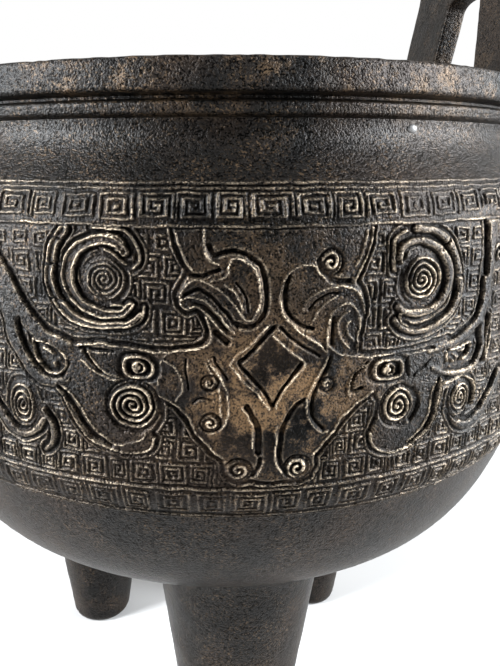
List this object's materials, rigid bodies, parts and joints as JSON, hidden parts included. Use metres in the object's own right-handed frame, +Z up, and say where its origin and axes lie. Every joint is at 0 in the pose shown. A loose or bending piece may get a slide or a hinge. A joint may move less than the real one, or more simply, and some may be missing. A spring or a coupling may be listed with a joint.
{
  "type": "bronze ding vessel",
  "caption": "Cast bronze tripod cauldron: round bowl with a relief mask band, thick rim, pillar legs and upright loop handles.",
  "frame": {"origin": "on the floor under the bowl's axis, at the middle of the bounding box's bottom", "axes": "+Z up along the bowl's axis; the front leg and the middle of the front mask point to -Y, the handles lie along X"},
  "size_m": [0.217, 0.2169, 0.285],
  "materials": {
    "ding_vessel": "dark brown, nearly black patina on cast bronze"
  },
  "bodies": {
    "root": {"ding_vessel": "ding_vessel"}
  },
  "joints": []
}
